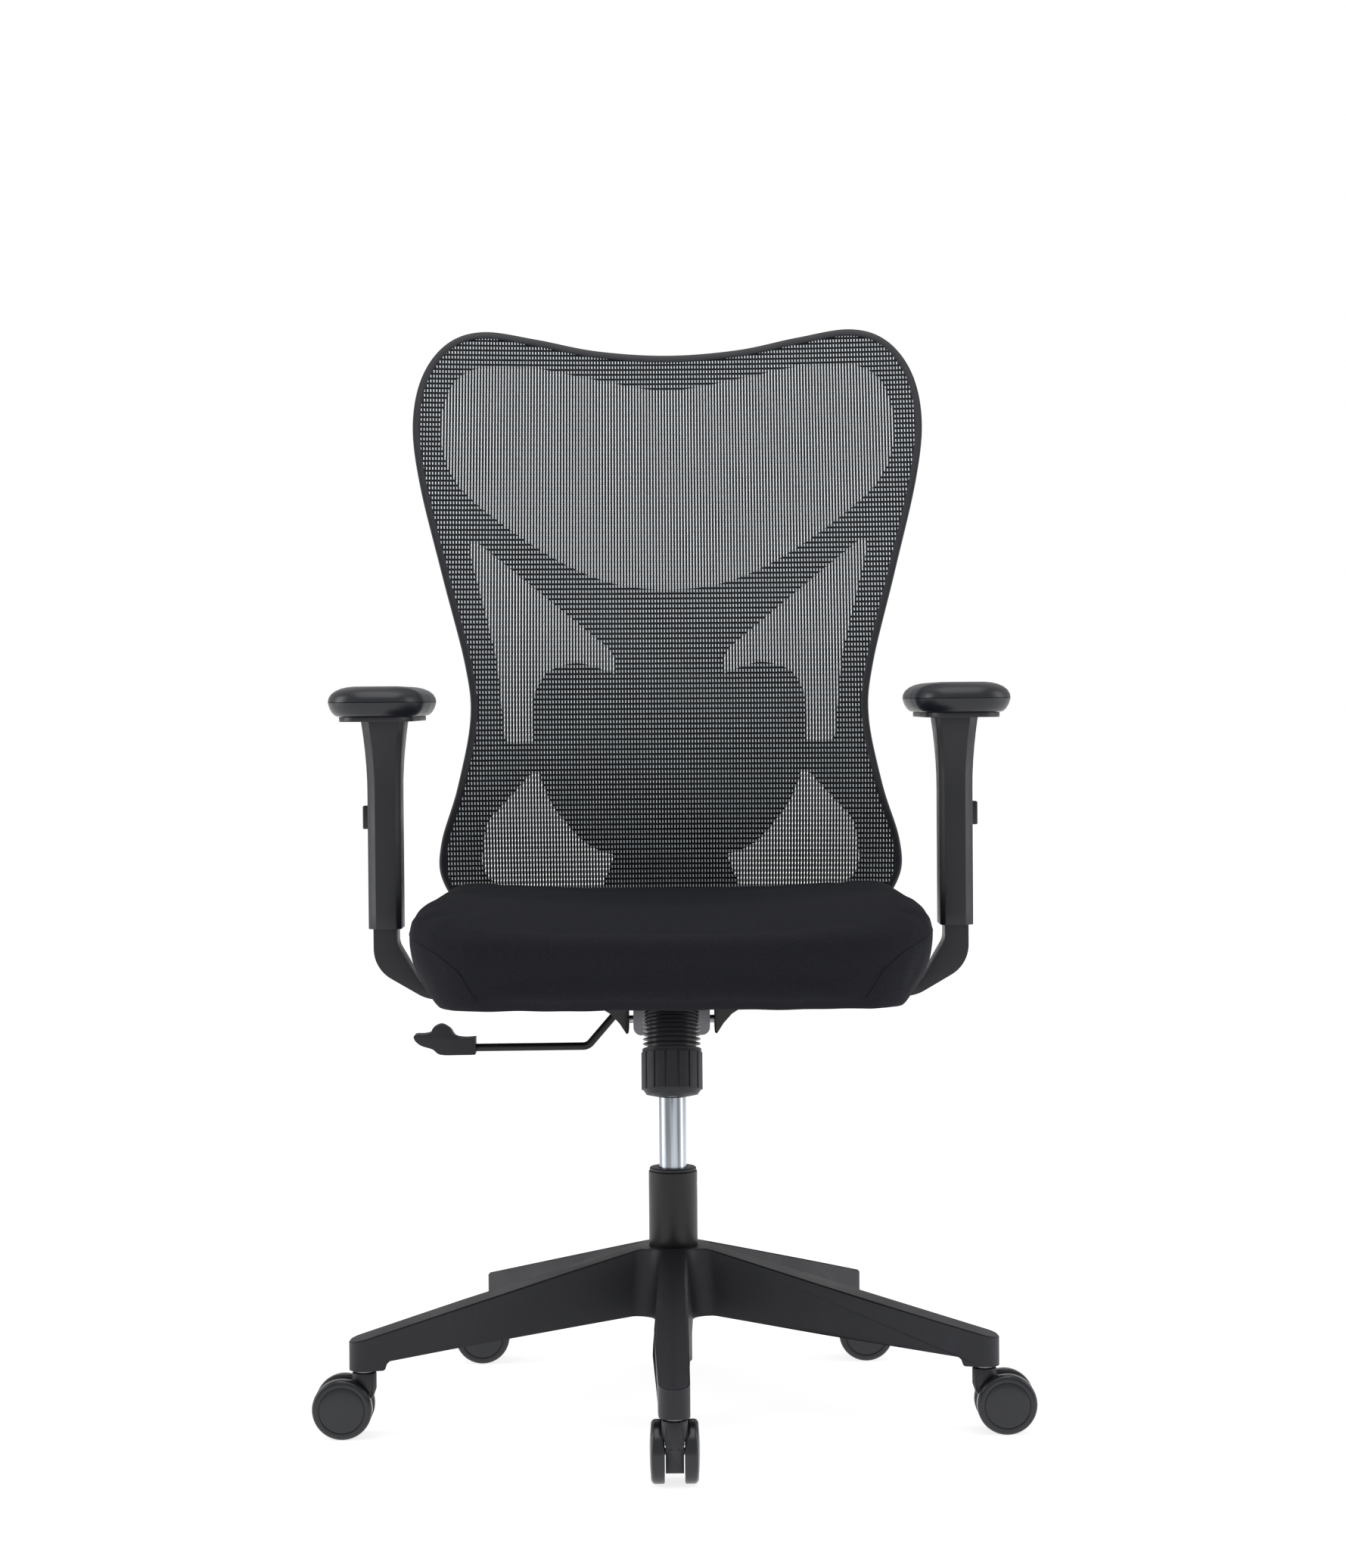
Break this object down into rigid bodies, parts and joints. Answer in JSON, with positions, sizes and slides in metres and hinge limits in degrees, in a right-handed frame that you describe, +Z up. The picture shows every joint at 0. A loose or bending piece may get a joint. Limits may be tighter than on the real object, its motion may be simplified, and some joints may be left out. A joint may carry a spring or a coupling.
{
  "type": "office chair",
  "caption": "Swivel office chair with a see-through mesh back, upholstered seat, height-adjusted armrests, tilt mechanism, gas lift and star base on twin-wheel casters.",
  "frame": {"origin": "on the floor, under the axis of the gas lift, at the middle of the overall box", "axes": "+Z up, the sitter faces -Y, +X to the sitter's left"},
  "size_m": [0.7216, 0.6815, 1.1467],
  "materials": {
    "black_plastic": "grained black nylon",
    "wheel_plastic": "smooth black nylon tread",
    "black_steel": "black powder coat, satin",
    "plain_steel": "plain steel",
    "chrome": "bright chrome",
    "grey_paint": "light grey paint, satin",
    "seat_fabric": "fine black twill",
    "back_net": "black net with light blue-grey floats, see-through",
    "arm_pad": "soft black polyurethane, satin",
    "pan_wood": "moulded plywood"
  },
  "bodies": {
    "base": {"star_base": "black_plastic", "column_tube": "black_steel", "column_bushing": "black_plastic", "thrust_bearing": "plain_steel", "caster_stem_1": "plain_steel", "caster_stem_2": "plain_steel", "caster_stem_3": "plain_steel", "caster_stem_4": "plain_steel", "caster_stem_5": "plain_steel"},
    "caster_1": {"caster_body_1": "black_plastic", "caster_axle_1": "plain_steel"},
    "wheel_1_a": {"caster_wheel_1_a": "wheel_plastic"},
    "wheel_1_b": {"caster_wheel_1_b": "wheel_plastic"},
    "caster_2": {"caster_body_2": "black_plastic", "caster_axle_2": "plain_steel"},
    "wheel_2_a": {"caster_wheel_2_a": "wheel_plastic"},
    "wheel_2_b": {"caster_wheel_2_b": "wheel_plastic"},
    "caster_3": {"caster_body_3": "black_plastic", "caster_axle_3": "plain_steel"},
    "wheel_3_a": {"caster_wheel_3_a": "wheel_plastic"},
    "wheel_3_b": {"caster_wheel_3_b": "wheel_plastic"},
    "caster_4": {"caster_body_4": "black_plastic", "caster_axle_4": "plain_steel"},
    "wheel_4_a": {"caster_wheel_4_a": "wheel_plastic"},
    "wheel_4_b": {"caster_wheel_4_b": "wheel_plastic"},
    "caster_5": {"caster_body_5": "black_plastic", "caster_axle_5": "plain_steel"},
    "wheel_5_a": {"caster_wheel_5_a": "wheel_plastic"},
    "wheel_5_b": {"caster_wheel_5_b": "wheel_plastic"},
    "spindle": {"piston_rod": "plain_steel", "retaining_clip": "plain_steel"},
    "chassis": {"gas_cylinder": "chrome", "mechanism_housing": "grey_paint", "tilt_axle": "plain_steel"},
    "release": {"release_pin": "plain_steel"},
    "lever_pivot": {"lever_bushing": "black_plastic"},
    "lever": {"lever_rod": "black_steel", "lever_handle": "black_plastic"},
    "seat": {"seat_plate": "black_steel", "thread_sleeve": "black_plastic", "tension_spring": "plain_steel", "seat_pan": "pan_wood", "seat_cushion": "seat_fabric", "arm_bracket_left": "black_plastic", "arm_bracket_right": "black_plastic", "back_bracket": "black_steel", "back_frame": "black_plastic", "back_mesh": "back_net", "back_bolt_lower": "plain_steel", "back_bolt_upper": "plain_steel"},
    "spring_seat": {"spring_plate": "plain_steel"},
    "knob": {"tension_knob": "black_plastic", "tension_bolt": "plain_steel"},
    "arm_left": {"arm_sleeve_left": "black_plastic", "arm_pad_left": "arm_pad"},
    "button_left": {"arm_button_left": "black_plastic"},
    "arm_right": {"arm_sleeve_right": "black_plastic", "arm_pad_right": "arm_pad"},
    "button_right": {"arm_button_right": "black_plastic"},
    "lumbar": {"lumbar_pad": "black_plastic"}
  },
  "joints": [
    {"name": "caster_swivel_1", "type": "hinge", "parent": "base", "child": "caster_1", "pos_m": [0, -0.326, 0.06], "axis": [0, 0, 1], "continuous": true},
    {"name": "wheel_spin_1_a", "type": "hinge", "parent": "caster_1", "child": "wheel_1_a", "pos_m": [0.0166, -0.305, 0.03], "axis": [-1, 0, 0], "continuous": true},
    {"name": "wheel_spin_1_b", "type": "hinge", "parent": "caster_1", "child": "wheel_1_b", "pos_m": [-0.0166, -0.305, 0.03], "axis": [-1, 0, 0], "continuous": true},
    {"name": "caster_swivel_2", "type": "hinge", "parent": "base", "child": "caster_2", "pos_m": [0.31004, -0.10074, 0.06], "axis": [0, 0, 1], "continuous": true},
    {"name": "wheel_spin_2_a", "type": "hinge", "parent": "caster_2", "child": "wheel_2_a", "pos_m": [0.33104, -0.11734, 0.03], "axis": [0, 1, 0], "continuous": true},
    {"name": "wheel_spin_2_b", "type": "hinge", "parent": "caster_2", "child": "wheel_2_b", "pos_m": [0.33104, -0.08414, 0.03], "axis": [0, 1, 0], "continuous": true},
    {"name": "caster_swivel_3", "type": "hinge", "parent": "base", "child": "caster_3", "pos_m": [0.19162, 0.26374, 0.06], "axis": [0, 0, 1], "continuous": true},
    {"name": "wheel_spin_3_a", "type": "hinge", "parent": "caster_3", "child": "wheel_3_a", "pos_m": [0.21262, 0.24714, 0.03], "axis": [0, 1, 0], "continuous": true},
    {"name": "wheel_spin_3_b", "type": "hinge", "parent": "caster_3", "child": "wheel_3_b", "pos_m": [0.21262, 0.28034, 0.03], "axis": [0, 1, 0], "continuous": true},
    {"name": "caster_swivel_4", "type": "hinge", "parent": "base", "child": "caster_4", "pos_m": [-0.19162, 0.26374, 0.06], "axis": [0, 0, 1], "continuous": true},
    {"name": "wheel_spin_4_a", "type": "hinge", "parent": "caster_4", "child": "wheel_4_a", "pos_m": [-0.21262, 0.28034, 0.03], "axis": [0, -1, 0], "continuous": true},
    {"name": "wheel_spin_4_b", "type": "hinge", "parent": "caster_4", "child": "wheel_4_b", "pos_m": [-0.21262, 0.24714, 0.03], "axis": [0, -1, 0], "continuous": true},
    {"name": "caster_swivel_5", "type": "hinge", "parent": "base", "child": "caster_5", "pos_m": [-0.31004, -0.10074, 0.06], "axis": [0, 0, 1], "continuous": true},
    {"name": "wheel_spin_5_a", "type": "hinge", "parent": "caster_5", "child": "wheel_5_a", "pos_m": [-0.33104, -0.08414, 0.03], "axis": [0, -1, 0], "continuous": true},
    {"name": "wheel_spin_5_b", "type": "hinge", "parent": "caster_5", "child": "wheel_5_b", "pos_m": [-0.33104, -0.11734, 0.03], "axis": [0, -1, 0], "continuous": true},
    {"name": "seat_swivel", "type": "hinge", "parent": "base", "child": "spindle", "pos_m": [0, 0, 0.1], "axis": [0, 0, 1], "continuous": true},
    {"name": "seat_height", "type": "slide", "parent": "spindle", "child": "chassis", "axis": [0, 0, 1], "range_m": [-0.1, 0]},
    {"name": "valve_press", "type": "slide", "parent": "chassis", "child": "release", "axis": [0, 0, -1], "range_m": [0, 0.0029], "stiffness_N_per_m": 400},
    {"name": "lever_lift", "type": "hinge", "parent": "chassis", "child": "lever_pivot", "pos_m": [-0.037, 0, 0.4225], "axis": [0, 1, 0], "range_deg": [0, 3.2], "stiffness_Nm_per_rad": 8, "springref_deg": -6.88},
    {"name": "lever_pull", "type": "slide", "parent": "lever_pivot", "child": "lever", "axis": [-1, 0, 0], "range_m": [0, 0.012]},
    {"name": "seat_tilt", "type": "hinge", "parent": "chassis", "child": "seat", "pos_m": [0, -0.045, 0.41], "axis": [-1, 0, 0], "range_deg": [0, 11], "stiffness_Nm_per_rad": 160, "springref_deg": -20.05},
    {"name": "knob_turn", "type": "hinge", "parent": "seat", "child": "knob", "pos_m": [0, -0.118, 0.429], "axis": [0, 0.2079, 0.9781], "range_deg": [0, 1080]},
    {"name": "spring_load", "type": "slide", "parent": "seat", "child": "spring_seat", "axis": [0, 0.2079, 0.9781], "range_m": [0, 0.012], "deforming": ["tension_spring"]},
    {"name": "arm_height_left", "type": "slide", "parent": "seat", "child": "arm_left", "axis": [0, 0, 1], "range_m": [0, 0.06]},
    {"name": "button_press_left", "type": "slide", "parent": "arm_left", "child": "button_left", "axis": [1, 0, 0], "range_m": [0, 0.003], "stiffness_N_per_m": 300},
    {"name": "arm_height_right", "type": "slide", "parent": "seat", "child": "arm_right", "axis": [0, 0, 1], "range_m": [0, 0.06]},
    {"name": "button_press_right", "type": "slide", "parent": "arm_right", "child": "button_right", "axis": [-1, 0, 0], "range_m": [0, 0.003], "stiffness_N_per_m": 300},
    {"name": "lumbar_height", "type": "slide", "parent": "seat", "child": "lumbar", "axis": [0, 0, 1], "range_m": [-0.015, 0.01]}
  ],
  "couplings": [
    {"joint": "spring_load", "follows": "knob_turn", "m_per_rad": 0.00063656},
    {"joint": "valve_press", "follows": "lever_lift", "m_per_rad": 0.05}
  ]
}
